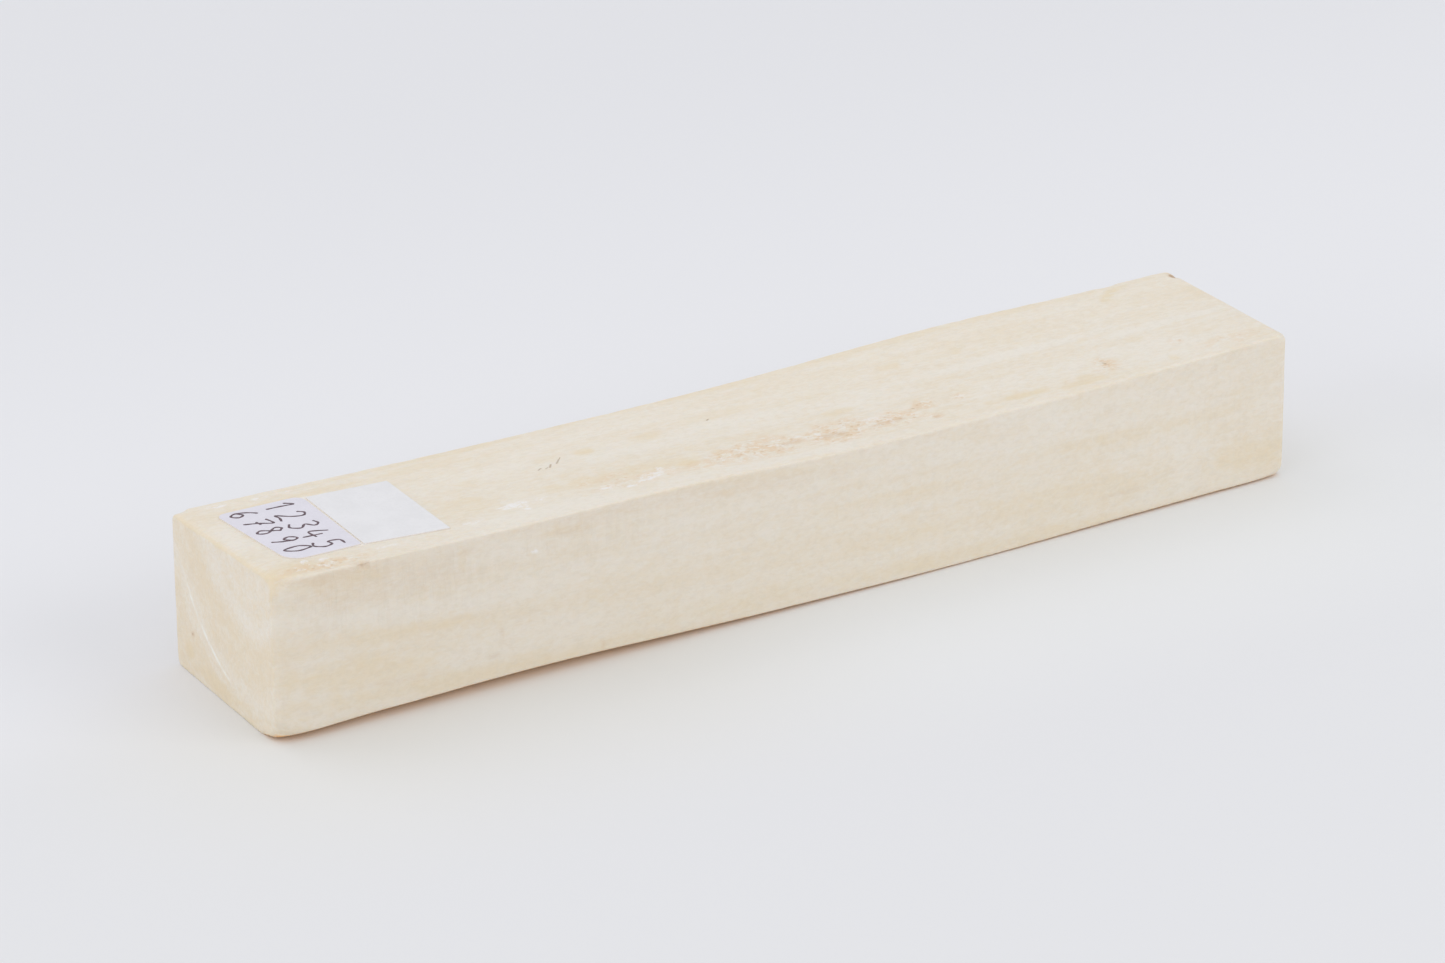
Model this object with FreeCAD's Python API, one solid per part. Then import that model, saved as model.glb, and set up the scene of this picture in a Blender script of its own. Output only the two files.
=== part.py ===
import FreeCAD, Part
import math
import os

os.makedirs("parts", exist_ok=True)

# The bar, in millimetres: X along the length, Y toward the far side, Z up
length = 135.6
width = 23.6
height = 18.5

# Each sawn edge wanders a little. A station is the share of the length from
# the left end and the offset there in millimetres.
near_side_wander = ((0.0, 0.1), (0.15, 0.2), (0.4, -0.1), (0.62, -0.3), (0.85, 0.0), (1.0, 0.2))
far_side_wander = ((0.0, 0.1), (0.25, -0.2), (0.5, -0.25), (0.75, 0.2), (0.87, 0.1), (1.0, 0.2))
near_top_wander = (
    (0.0, 0.95), (0.2, 0.4), (0.38, 0.3), (0.5, -0.25), (0.65, -0.55), (0.85, -0.35), (1.0, 0.1),
)
far_top_wander = ((0.0, 0.3), (0.25, -0.25), (0.5, -0.3), (0.75, 0.45), (0.87, 0.25), (1.0, 0.3))

# The underside is flat, and lifts toward its near edge where the saw ran off
near_lift = (
    (0.0, 0.8), (0.15, 1.2), (0.28, 1.2), (0.4, 0.7), (0.65, 0.15), (0.87, 0.3), (1.0, 0.25),
)
lift_width = 4.4
floor_trim = 0.4

# The far side leans out toward its foot, most at the left end
far_foot_lean = ((0.0, 0.85), (0.4, 0.1), (1.0, 0.1))

# Corner radii along the four long edges: over most of the bar, then at the
# left and the right end, where handling has worn them more
near_top_round = (0.3, 1.7, 0.6)
far_top_round = (0.3, 0.5, 0.6)
near_under_round = (0.3, 2.9, 1.2)
far_under_round = (0.3, 0.7, 0.6)
wear_length = 5.0
corner_facets = 3

# How much further out each end face's foot stands than its top
left_end_lean = -0.35
right_end_lean = 0.4

# The rounding of each end face's rim: how far it reaches along the bar, and
# how deep it is at the near side, far side, top near, top far and foot
end_round = 1.1
left_end_wear = (0.6, 0.35, 0.6, 0.55, 0.4)
right_end_wear = (0.35, 0.5, 0.6, 0.5, 0.5)
end_ring_angles = (25.0, 50.0, 72.0, 90.0)

# Where the smooth sections stand, measured from each end
near_end_sections = (2.5, 6.0, 12.0)
middle_sections = 8

# The two paper labels on the top. Each corner has its distance from the left
# end, its distance from the centre line and its radius, and the corners run
# from far left over far right and near right to near left.
paper_thickness = 0.12
written_label_corners = ((3.4, 8.0, 1.0), (13.9, 8.2, 1.2), (13.35, -7.2, 0.4), (4.6, -7.4, 2.2))
plain_label_corners = ((14.2, 7.6, 0.15), (24.1, 7.1, 0.15), (23.6, -8.3, 0.15), (13.6, -7.3, 0.15))


def smooth_offset(stations, share):
    """Return the offset at a share of the length, along a smooth curve."""
    last = len(stations) - 1
    number = 0
    while number < last - 1 and share > stations[number + 1][0]:
        number += 1

    def slope(index):
        low = max(index - 1, 0)
        high = min(index + 1, last)
        rise = stations[high][1] - stations[low][1]
        return rise / (stations[high][0] - stations[low][0])

    (start, before), (stop, after) = stations[number], stations[number + 1]
    span = stop - start
    t = (share - start) / span
    return (
        before * (2 * t ** 3 - 3 * t ** 2 + 1)
        + after * (3 * t ** 2 - 2 * t ** 3)
        + slope(number) * span * (t ** 3 - 2 * t ** 2 + t)
        + slope(number + 1) * span * (t ** 3 - t ** 2)
    )


def edge_round(radii, x):
    """Return a long edge's radius at one x, larger near both ends."""
    middle, left, right = radii
    from_left = max(0.0, 1 - (x + length / 2) / wear_length)
    from_right = max(0.0, 1 - (length / 2 - x) / wear_length)
    return middle + (left - middle) * from_left ** 2 + (right - middle) * from_right ** 2


def rounded_corner(corner, before, after, radius, steps):
    """Return evenly spaced points along the round of one corner."""
    to_before = (before - corner).normalize()
    to_after = (after - corner).normalize()
    half = to_before.getAngle(to_after) / 2
    middle_line = (to_before + to_after).normalize()
    centre = corner + middle_line * (radius / math.sin(half))
    first = corner + to_before * (radius / math.tan(half)) - centre
    last = corner + to_after * (radius / math.tan(half)) - centre
    swing = math.pi - 2 * half
    points = []
    for number in range(steps + 1):
        share = number / steps
        points.append(
            centre
            + first * (math.sin((1 - share) * swing) / math.sin(swing))
            + last * (math.sin(share * swing) / math.sin(swing))
        )
    return points


def section(x, depth, wear, lean_out=0.0):
    """Return the bar's outline at one x, worn by a share of an end's wear.

    The outline leans, with its foot further out along X than its top.
    """
    near_wear, far_wear, near_top_wear, far_top_wear, foot_wear = [depth * w for w in wear]
    inside = min(max(x, -length / 2 + end_round), length / 2 - end_round)
    share = inside / length + 0.5
    near_y = smooth_offset(near_side_wander, share) - width / 2 + near_wear
    far_y = smooth_offset(far_side_wander, share) + width / 2 - far_wear
    near_z = smooth_offset(near_top_wander, share) + height - near_top_wear
    far_z = smooth_offset(far_top_wander, share) + height - far_top_wear
    lift = smooth_offset(near_lift, share) + foot_wear
    lean = smooth_offset(far_foot_lean, share)
    foot = foot_wear - floor_trim
    corners = [
        FreeCAD.Vector(x, near_y, lift),
        FreeCAD.Vector(x, near_y, near_z),
        FreeCAD.Vector(x, far_y, far_z),
        FreeCAD.Vector(x, far_y + lean, foot),
        FreeCAD.Vector(x, near_y + lift_width, foot),
    ]
    radii = [near_under_round, near_top_round, far_top_round, far_under_round]
    for corner in corners:
        corner.x += lean_out * (0.5 - corner.z / height)
    points = []
    for number, radii_here in enumerate(radii):
        points += rounded_corner(
            corners[number],
            corners[number - 1],
            corners[number + 1],
            edge_round(radii_here, x),
            corner_facets,
        )
    points.append(corners[-1])
    return Part.makePolygon(points + [points[0]])


def section_places():
    """Return the X of each smooth section, closer together near the ends."""
    body_end = length / 2 - end_round
    inner = body_end - near_end_sections[-1]
    places = [-body_end]
    places += [step - body_end for step in near_end_sections]
    for number in range(1, middle_sections):
        places.append(-inner + 2 * inner * number / middle_sections)
    places += [body_end - step for step in reversed(near_end_sections)]
    places.append(body_end)
    return places


def end_cap(side, wear, lean):
    """Return the worn rim and face of one sawn end, left for -1 and right for 1."""
    body_end = length / 2 - end_round
    rings = [section(side * body_end, 0.0, wear)]
    for degrees in end_ring_angles:
        angle = math.radians(degrees)
        x = side * (body_end + end_round * math.sin(angle))
        lean_out = side * lean * math.sin(angle)
        rings.append(section(x, 1 - math.cos(angle), wear, lean_out))
    return Part.makeLoft(rings, True, True)


def make_bar():
    """Return the whole bar, lying flat on the floor."""
    sections = [section(x, 0.0, left_end_wear) for x in section_places()]
    body = Part.makeLoft(sections, True, False)
    bar = body.fuse([
        end_cap(-1, left_end_wear, left_end_lean),
        end_cap(1, right_end_wear, right_end_lean),
    ])
    below = Part.makeBox(
        2 * length, 2 * width, height, FreeCAD.Vector(-length, -width, -height)
    )
    return bar.cut(below).Solids[0]


def sawn_top(bar):
    """Return the bar's top face: the largest that lies high up."""
    high = [face for face in bar.Faces if face.CenterOfMass.z > 0.9 * height]
    return max(high, key=lambda face: face.Area)


def make_label(bar, label_corners):
    """Return a paper label that lies on the bar's sawn top, face to face."""
    corners = [
        FreeCAD.Vector(from_left - length / 2, y, height / 2)
        for from_left, y, radius in label_corners
    ]
    rounds = []
    for number, corner in enumerate(corners):
        before = corners[number - 1]
        after = corners[(number + 1) % len(corners)]
        radius = label_corners[number][2]
        rounds.append(rounded_corner(corner, before, after, radius, 2))
    edges = []
    for number, spots in enumerate(rounds):
        following = rounds[(number + 1) % len(rounds)]
        edges.append(Part.Arc(*spots).toShape())
        edges.append(Part.LineSegment(spots[-1], following[0]).toShape())
    prism = Part.Face(Part.Wire(edges)).extrude(FreeCAD.Vector(0, 0, height))
    patch = sawn_top(bar).common(prism).Faces[0]
    return patch.extrude(FreeCAD.Vector(0, 0, paper_thickness))


# The origin is the middle of the bar's footprint, on the floor
bar = make_bar()
box = bar.optimalBoundingBox()
shift = FreeCAD.Vector(-(box.XMin + box.XMax) / 2, -(box.YMin + box.YMax) / 2, -box.ZMin)
pieces = {
    "ivory_bar": bar,
    "written_label": make_label(bar, written_label_corners),
    "plain_label": make_label(bar, plain_label_corners),
}
for name, piece in pieces.items():
    placed = piece.translated(shift)
    placed.exportStep("parts/" + name + ".step")
    box = placed.optimalBoundingBox()
    print(name, placed.isValid(), len(placed.Faces), round(placed.Volume, 2),
          [round(v, 3) for v in (box.XMin, box.XMax, box.YMin, box.YMax, box.ZMin, box.ZMax)])
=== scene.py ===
import math
from collections import namedtuple

import bpy
import numpy as np
from mathutils import Matrix, Vector, noise
from mathutils.bvhtree import BVHTree


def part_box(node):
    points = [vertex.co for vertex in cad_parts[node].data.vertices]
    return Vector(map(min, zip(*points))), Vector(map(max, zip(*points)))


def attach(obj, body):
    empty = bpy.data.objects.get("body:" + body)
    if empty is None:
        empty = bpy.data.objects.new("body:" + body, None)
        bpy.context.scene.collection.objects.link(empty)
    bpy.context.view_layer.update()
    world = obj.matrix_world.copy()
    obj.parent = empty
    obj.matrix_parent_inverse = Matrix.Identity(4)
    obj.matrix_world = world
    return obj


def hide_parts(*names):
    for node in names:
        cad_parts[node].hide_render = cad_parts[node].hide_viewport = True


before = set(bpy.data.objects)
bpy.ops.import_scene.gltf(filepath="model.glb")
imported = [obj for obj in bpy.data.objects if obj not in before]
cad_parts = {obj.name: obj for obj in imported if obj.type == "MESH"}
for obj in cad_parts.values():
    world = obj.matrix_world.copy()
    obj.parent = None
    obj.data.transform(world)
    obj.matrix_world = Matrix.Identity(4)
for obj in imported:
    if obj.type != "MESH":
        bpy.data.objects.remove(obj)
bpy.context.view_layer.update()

scene = bpy.context.scene
mm = 0.001

# Bar skin: grid steps and rounding, in millimetres
fine_step = 0.15
long_step = 0.44
cross_step = 0.48
fine_margin = 2.1
core_depth = 3.2
smoothing_rounds = 3
smoothing_share = 0.5
swelling_share = -0.53

# Share of a point's normal that points a face's way: where the point starts to belong to
# the face, and where it belongs to it fully
face_turn = (0.55, 0.85)
under_turn = (0.6, 0.9)

# How much of a normal is off its nearest axis where an edge starts and is full, and how
# many grid steps the worn rim is wider than the edge
edge_turn = (0.02, 0.12)
rim_steps = 4

# Relief of the sawn faces, in millimetres, always cut inward
swell_depth = 0.05
swell_length = 14.0
swell_stretch = (1.6, 0.8, 0.8)
washboard_depth = 0.012
washboard_pitch = 3.6
washboard_slant = 0.3
washboard_wander = 3.0
washboard_wander_length = 22.0
edge_chip_depth = 0.09
pore_depth = 0.10
pore_length = 0.9
pore_stretch = (1.5, 1.0, 1.0)
underside_relief_share = 0.2

# Ragged edges: share, length and seed of each kind of chip, and the noise value where
# one starts
edge_chips = ((1.0, 2.6, 5, 0.15), (0.5, 1.0, 6, 0.1))

# Raggedness of the marks' outlines: share, length and seed of each noise
outline_noises = ((0.35, 1.6, 1), (0.3, 4.5, 2))

# Where a mark starts to fade and is gone, in its half sizes, the same of a chip, in its
# radii, and how ragged a chip's outline is
mark_fade = (0.45, 1.25)
nick_fade = (0.2, 1.0)
nick_raggedness = 0.6

# Noise with another seed is the same noise moved by this much for each step of the seed
seed_shift = (13.7, 5.1, 9.3)

# The left end's top near corner is sawn and worn back: how far along X, Y and Z, and
# how far from the end that reaches
corner_pull = (1.1, 1.15, -0.3)
corner_reach = (8.0, 5.0, 4.0)

# Footprint of the two labels (west, east, south, north), where the sawn top keeps its
# exact height, and the strip of ivory in the gap between them, painted lighter against
# the gap's shade (x, south, north)
label_area = (-65.4, -42.9, -9.4, 9.0)
label_seam = (-54.1, -7.4, 7.5)

# Where the strip starts to fade and is gone beside its middle line, and where it is gone
# and full at its ends, in millimetres
seam_fade = (0.6, 1.2)
seam_end_fade = (-0.5, 0.0)

# The relief comes back over a millimetre outside the labels' footprint, and is full all
# over the bar below a certain height
label_fade = (0.0, 1.0)
below_top = 16.0
below_top_fade = (-0.5, 0.2)

# The near edge's height is read just inside it: from, to and step along the bar
edge_places = (-66.5, 66.6, 1.9)
edge_inside_y = -10.6

# Marks on the top: place along, place across, half length, half width, strength
top_tan = (
    (20.0, 10.7, 42.0, 0.8, 0.4), (-40.0, 10.5, 20.0, 0.6, 0.5), (-54.0, 8.3, 12.5, 0.55, 0.6),
    (-21.2, 2.6, 1.7, 0.9, 0.9), (-25.3, 3.0, 2.4, 1.0, 0.4), (-12.7, 2.8, 2.2, 0.9, 0.5),
    (-36.0, 1.9, 2.0, 0.8, 0.35), (-40.5, -4.5, 4.0, 3.0, 0.35), (-22.0, -5.2, 11.0, 1.5, 0.5),
    (-38.0, 8.8, 5.0, 1.2, 0.4), (-12.8, -6.7, 1.6, 0.8, 0.9), (-8.1, -5.5, 0.8, 1.2, 0.7),
    (-25.5, -4.7, 2.2, 0.9, 0.5), (-3.5, 4.2, 6.0, 1.0, 0.3), (9.5, -2.5, 2.2, 1.0, 0.45),
    (22.0, 4.9, 2.0, 1.1, 0.5), (31.0, 5.0, 1.2, 1.2, 0.3), (30.5, -9.6, 4.5, 0.8, 0.7),
    (39.5, -10.2, 3.2, 0.8, 0.6), (40.0, -9.4, 1.4, 1.0, 0.5), (51.3, -3.3, 1.5, 0.9, 0.4),
    (52.2, -10.0, 0.8, 0.8, 0.5), (59.3, -5.6, 2.2, 1.0, 0.3), (55.2, 8.0, 0.8, 0.6, 1.0),
    (56.3, 9.0, 0.9, 0.6, 1.0), (57.5, 9.9, 1.2, 0.6, 1.0), (59.2, 10.4, 1.8, 0.6, 0.6),
    (-64.0, -9.7, 3.5, 2.3, 0.6),
)
top_pale = (
    (-22.0, 6.5, 16.0, 1.2, 0.7), (-1.0, 0.0, 24.0, 2.0, 0.5), (35.0, 0.6, 14.0, 1.1, 0.9),
    (56.0, -1.2, 11.0, 0.9, 0.9), (-14.0, -11.0, 32.0, 1.0, 0.6), (50.0, -7.0, 16.0, 3.5, 0.4),
    (28.0, -7.2, 6.0, 1.6, 0.4), (-34.0, -9.4, 9.0, 1.2, 0.6), (-65.6, 0.5, 1.5, 3.6, 0.9),
)
top_chalk = (
    (-63.0, 10.3, 1.4, 0.5, 1.0), (-57.7, 10.0, 1.4, 0.4, 1.0), (-55.0, 10.2, 1.6, 0.4, 0.5),
    (-34.6, -6.6, 1.5, 0.8, 1.0), (-34.2, -7.8, 0.7, 1.0, 0.9), (-32.4, -6.9, 0.9, 0.4, 0.8),
    (-36.3, -6.6, 1.1, 0.4, 0.8), (-31.6, -6.3, 1.1, 0.35, 0.7), (-41.5, -8.4, 2.6, 0.6, 0.45),
    (-18.0, -7.5, 1.4, 0.6, 0.9), (-19.3, -8.3, 1.2, 0.4, 0.7), (-16.3, -6.4, 0.5, 0.5, 0.7),
    (-24.0, -7.9, 1.0, 0.6, 0.7), (-21.4, -8.9, 0.8, 0.4, 0.8), (-62.0, -8.6, 0.6, 0.4, 0.9),
    (-59.8, -8.9, 0.7, 0.4, 0.9), (-52.5, -9.3, 1.6, 0.4, 0.6), (2.0, -6.2, 1.6, 0.5, 0.4),
    (12.5, -6.2, 2.4, 0.5, 0.5), (24.5, -6.2, 1.2, 0.4, 0.5),
)
top_porous = (
    (-20.0, -7.5, 7.0, 1.6, 0.5), (-3.0, -7.2, 7.0, 3.0, 1.0), (7.0, -7.3, 5.5, 2.7, 1.0),
    (14.8, -7.5, 4.0, 2.1, 1.0), (19.4, -5.9, 2.0, 1.3, 1.0), (19.0, -9.3, 1.1, 0.9, 0.9),
    (24.5, -6.1, 1.6, 0.9, 0.7), (44.2, -7.4, 1.7, 2.1, 0.9), (55.3, -6.3, 0.9, 0.8, 0.8),
    (61.0, -9.2, 5.0, 1.4, 0.4), (-10.5, -8.0, 3.5, 1.4, 0.7), (-23.0, -5.6, 6.0, 1.4, 0.4),
    (-60.0, -10.2, 5.0, 1.2, 1.0),
)
top_brown = (
    (-57.0, -11.6, 1.2, 0.3, 0.35), (44.2, -7.3, 0.6, 0.9, 0.2), (1.0, -7.4, 1.8, 0.7, 0.45),
    (6.0, -7.7, 1.9, 0.7, 0.45), (13.8, -7.9, 2.6, 0.6, 0.45), (19.0, -9.4, 0.6, 0.5, 0.4),
)

# Marks on the near side: place along, depth under the top edge, half length, half
# height, strength
side_tan = (
    (-54.0, 9.1, 11.5, 0.8, 0.7), (-47.5, 9.5, 3.0, 0.6, 0.9), (-57.5, 13.2, 10.5, 1.9, 1.0),
    (-38.0, 16.8, 36.0, 1.4, 0.8), (30.0, 17.2, 40.0, 1.1, 0.7), (-10.0, 16.0, 14.0, 1.5, 0.4),
    (37.0, 12.7, 12.0, 1.8, 0.4), (62.5, 14.5, 5.5, 2.2, 0.8), (48.0, 7.4, 16.0, 0.8, 0.5),
    (-44.6, 2.2, 0.5, 1.8, 0.6), (-32.6, 1.8, 3.2, 0.7, 0.5), (-11.2, 1.9, 1.5, 0.4, 0.5),
    (-8.0, 0.7, 20.0, 0.5, 0.4), (11.5, 7.0, 11.0, 0.6, 0.45), (12.0, 12.3, 8.0, 1.5, 0.35),
    (-60.5, 1.4, 7.0, 1.1, 0.7),
)
side_pale = (
    (-56.0, 6.6, 11.5, 1.1, 1.0), (-42.0, 7.7, 9.0, 0.9, 0.8), (-18.0, 4.4, 13.0, 1.3, 0.5),
    (-34.0, 12.1, 13.0, 1.0, 0.7), (12.0, 8.9, 18.0, 0.9, 0.6), (32.0, 4.5, 16.0, 1.2, 0.7),
    (53.5, 12.5, 3.2, 3.5, 0.6), (45.0, 9.6, 8.0, 0.8, 0.5), (-9.0, 13.2, 13.0, 0.9, 0.4),
)
side_brown = (
    (-55.0, 2.8, 13.0, 2.8, 0.3), (-18.0, 1.2, 30.0, 1.2, 0.2), (-62.5, 0.9, 5.5, 0.7, 0.5),
    (-57.2, 0.7, 1.8, 0.5, 0.6), (-44.5, 1.5, 2.2, 0.7, 0.3), (-32.0, 2.0, 3.2, 0.7, 0.3),
    (-11.3, 2.0, 1.5, 0.5, 0.3), (-52.5, 15.0, 5.5, 0.4, 0.35), (-41.0, 14.8, 0.9, 0.3, 0.5),
    (-40.0, 12.3, 0.3, 0.4, 0.6), (-27.0, 17.0, 0.3, 0.6, 0.7), (57.0, 2.0, 0.35, 0.6, 0.5),
    (43.0, 14.6, 4.5, 0.3, 0.35),
)
side_chalk = ((-35.6, 3.4, 0.6, 0.45, 0.7),)
side_sawn = (
    (-52.0, 4.0, 16.0, 4.5, 1.0), (-30.0, 3.0, 10.0, 3.5, 0.6), (58.0, 8.0, 10.0, 8.0, 0.3),
)

# The side's marks are fainter than the top's, and run down toward the right
side_share = 0.5
side_slope = 0.05

# Paleness all over the top and all over the side
top_paleness = 0.15
side_paleness = 0.12

# Marks on the left end: place across, height, half width, half height, strength
end_tan = ((8.8, 3.0, 1.4, 1.2, 0.8), (3.0, 1.6, 7.0, 1.0, 0.4), (-11.0, 17.0, 0.8, 2.0, 0.5))
end_brown = ((7.9, 5.3, 0.6, 0.45, 1.0),)

# Tan on the left end's top edge: its strength, and where it starts and is full along X
# and in height
end_edge_tan = 0.6
end_edge_x = (-65.5, -66.8)
end_edge_z = (16.0, 18.0)

# Painted shade on the near side, which fades out along X; painted light on the top,
# whose brightness grows across it; and a brown painted on the underside that tints the
# shadow under the near edge, full along the underside's near edge only
painted_shade_x = (-75.0, 75.0)
painted_light_y = (-5.0, 8.0)
painted_light_share = 0.15
painted_gap_shade_y = (-6.0, -9.0)
painted_gap_shade_share = 0.35

# Chips out of the edges: centre x, y, z, radius, depth and how brown it is
edge_nicks = (
    (-56.6, -12.0, 19.1, 0.9, 0.35, 0.75), (67.2, 10.1, 18.9, 1.2, 0.20, 1.3),
    (-66.6, -11.3, 18.8, 1.6, 0.30, 0.2), (-66.9, 11.3, 19.0, 1.1, 0.20, 0.0),
    (44.0, -12.0, 17.9, 0.9, 0.15, 0.0), (67.3, -11.9, 18.4, 0.8, 0.15, 0.0),
    (-67.0, -11.0, 1.6, 1.6, 0.25, 0.0), (12.0, 12.1, 18.3, 1.0, 0.20, 0.0),
    (58.0, 12.0, 18.7, 2.0, 0.12, 0.0), (-20.0, 12.0, 0.3, 1.6, 0.30, 0.3),
    (67.2, 2.0, 0.4, 1.3, 0.25, 0.2),
)

# Short dark cracks and pits on the top: start, end and half width
top_ticks = (
    ((-27.9, 0.6), (-27.4, 0.9), 0.15), ((-27.0, 0.5), (-26.6, 0.7), 0.13),
    ((-26.4, 0.6), (-25.9, 1.3), 0.20), ((-25.2, 1.2), (-24.5, 2.0), 0.17),
    ((-24.5, 2.0), (-24.0, 2.5), 0.12), ((-4.2, 3.2), (-3.9, 3.4), 0.19),
    ((17.7, -6.2), (17.9, -6.3), 0.12), ((44.1, -7.0), (44.3, -7.4), 0.12),
)
tick_heights = (16.9, 17.3)

# Growth rings of the tusk: the axis runs along the bar, near its top, and is bent a
# little by slow noise
ring_axis_y = -8.4
ring_axis_y_slope = -0.034
ring_axis_z = 20.5
ring_axis_z_slope = -0.028
ring_bend = 1.3

# Rings that show across the sawn ends, from the pale core out: the radius where each
# starts and is full, and how much it warms the colour
end_rings = ((10.6, 13.6, 0.40), (15.5, 18.6, -0.30), (19.6, 22.0, 0.26))
end_rings_x = (63.5, 66.8)
end_rings_share = 0.3

# Pale crack in an arc on the left end: its radius and centre, its half width with and
# without its soft edge, where it starts and is full across the bar and along it, and how
# faint it gets
crack_radius = 19.15
crack_y = -7.7
crack_z = 21.25
crack_half_width = (0.34, 0.1)
crack_low_y = (-1.5, 0.2)
crack_high_y = (9.6, 8.0)
crack_x = (-66.0, -66.8)
crack_faintest = 0.25

# Noise patterns: waves a millimetre along X, Y and Z, an offset, detail, roughness and
# distortion, and the noise values at which the pattern starts and is full
Pattern = namedtuple(
    "Pattern",
    "waves offset detail roughness distortion low high",
    defaults=((0.0, 0.0, 0.0), 3.0, 0.55, 0.0, 0.0, 1.0),
)
bend_noise = Pattern((0.022, 0.11, 0.11), detail=2.0, low=0.25, high=0.75)
fibre_noise = Pattern((0.08, 0.9, 0.9), detail=4.0, roughness=0.6, distortion=0.6, low=0.3, high=0.7)
grain_noise = Pattern((0.9, 2.6, 2.6), detail=4.0, roughness=0.65, distortion=0.5)
cloud_noise = Pattern((0.07, 0.16, 0.16), (4.0, 1.0, 2.0), low=0.35, high=0.65)
mottle_noise = Pattern((0.5, 0.8, 0.8), (7.0, 2.0, 5.0), roughness=0.6, distortion=1.0, low=0.3, high=0.7)
dust_noise = Pattern((1.1, 1.7, 1.7), (5.0, 5.0, 1.0), roughness=0.7, distortion=0.6, low=0.42, high=0.68)
blot_noise = Pattern((0.55, 0.8, 0.8), detail=4.0, roughness=0.7, low=0.40, high=0.58)
fleck_noise = Pattern((1.3, 1.8, 1.8), (2.0, 6.0, 1.0), low=0.55, high=0.64)
broken_noise = Pattern((1.0, 2.0, 2.0), detail=5.0, roughness=0.75, low=0.42, high=0.58)
faint_noise = Pattern((0.6, 0.6, 0.6), (0.0, 3.0, 9.0), low=0.4, high=0.6)
paper_fibre_noise = Pattern((2.4, 2.4, 2.4), detail=4.0, roughness=0.65, distortion=0.8)
paper_cloud_noise = Pattern((0.35, 0.35, 0.35), detail=2.0)
ink_noise = Pattern((3.0, 3.0, 3.0), roughness=0.6)

# Growth bands: waves a millimetre outward and along the bar, and a fixed third place
band_noise = Pattern(
    (0.42, 0.018, 0.0), (0.0, 0.0, 3.0), detail=2.0, roughness=0.6, low=0.32, high=0.68,
)
thin_band_noise = Pattern(
    (1.5, 0.05, 0.0), (0.0, 0.0, 8.0), roughness=0.6, distortion=0.4, low=0.3, high=0.7,
)

# Saw streaks: the slant in plan is waves a millimetre too, along Y. Then how strong they
# are on every face, and how much stronger where the side is marked as sawn.
saw_noise = Pattern((1.9, 0.2, 0.25), roughness=0.6, low=0.42, high=0.62)
saw_slant = 0.57
saw_everywhere = 0.06
saw_in_marks = 0.90

# Speckles of the porous patches: cells a millimetre, the distance from a cell's middle
# where a speckle starts and is full, and the blot noise that it needs
speckle_cells = (1.2, 1.5, 1.5)
speckle_reach = (0.36, 0.12)
speckle_blot = (0.38, 0.5)

# The ivory's two main colours, on the 0 to 255 scale, the warmth at which each is
# pure, and how much each pattern and mark adds to the warmth
pale_ivory = (235, 229, 219)
tan_ivory = (229, 214, 188)
warmth_span = (-0.15, 1.15)
warmth_start = 0.01
warmth_shares = {
    "bands": 0.20,
    "cloud": 0.15,
    "thin_bands": 0.09,
    "fibre": 0.08,
    "mottle": 0.27,
    "grain_swing": 1.2,
    "tan": 0.50,
    "pale": -0.45,
    "end_rings": 0.9,
}

# Layers over that colour, in this order: how strong each is, and its colour
colour_layers = (
    ("sawn", 0.20, (210, 198, 180)),
    # painted shade: the near side darker toward its left end
    ("shade", 0.15, (208, 199, 186)),
    ("calm", 0.20, (234, 224, 208)),
    # painted light: the whole top face lighter, most toward its far side
    ("bright", 0.22, (243, 236, 225)),
    ("tan", 0.32, (231, 211, 168)),
    ("dust", 0.13, (198, 188, 172)),
    # painted shadow: a strong brown on the underside, fullest along its near edge, that tints the shadow
    # in the gap under the near edge
    ("under", 0.95, (242, 180, 98)),
    ("blot", 0.75, (228, 203, 172)),
    ("fleck", 0.70, (240, 236, 232)),
    ("speckle", 0.60, (212, 181, 144)),
    ("stain", 0.80, (204, 172, 138)),
    ("dark_stain", 0.60, (165, 130, 95)),
    ("bruise", 0.85, (243, 241, 242)),
    # painted highlight: a pale tint along the rounded edges
    ("edge", 0.12, (236, 228, 213)),
    # painted light: the ivory in the gap between the labels lightened against the gap's shade
    ("painted_light_seam", 0.90, (244, 238, 230)),
    ("pale_crack", 1.00, (240, 237, 230)),
    ("tick", 0.70, (170, 146, 116)),
)

# Stains: how strong a brown mark is where dark starts and is full, and a stain's share
# where the grain is low. Bruises: how strong a chalk mark is where one starts and is full.
dark_stain_span = (0.6, 1.0)
stain_grain = (0.3, 0.6)
stain_share = 0.5
bruise_span = (0.05, 0.7)

# Relief finer than the mesh: how high or deep each pattern is, and the scale of it all in
# millimetres
relief_shares = {
    "grain": 0.5,
    "mottle": 0.25,
    "sawn": -0.4,
    "speckle": -0.9,
    "crack": -0.5,
    "tick": -1.2,
    "fibre": 0.15,
}
ivory_relief = 0.04

# Roughness of pale and of tan ivory, and how light spreads in it, in millimetres
pale_roughness = 0.50
tan_roughness = 0.42
ivory_depth = 0.6
ivory_glow = {"Subsurface_Weight": 0.12, "Subsurface_Radius": (1.0, 0.7, 0.45), "IOR": 1.5}

# Paper and ink: colours, relief in millimetres, and for each noise the values where
# the surface goes from one look to the other, with the roughness at both
lilac_paper = (228, 226, 237)
white_paper = (234, 234, 238)
paper_edge = (234, 228, 224)
paper_dullness = 0.95
paper_cloud_span = (0.35, 0.65)
paper_edge_turn = (0.7, 0.3)
paper_gloss = (0.3, 0.7, 0.5, 0.6)
paper_relief = 0.02
pale_ink = (112, 88, 98)
dark_ink = (70, 50, 62)
ink_span = (0.35, 0.7)
ink_gloss = (0.3, 0.7, 0.35, 0.55)
ink_relief = 0.01

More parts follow.
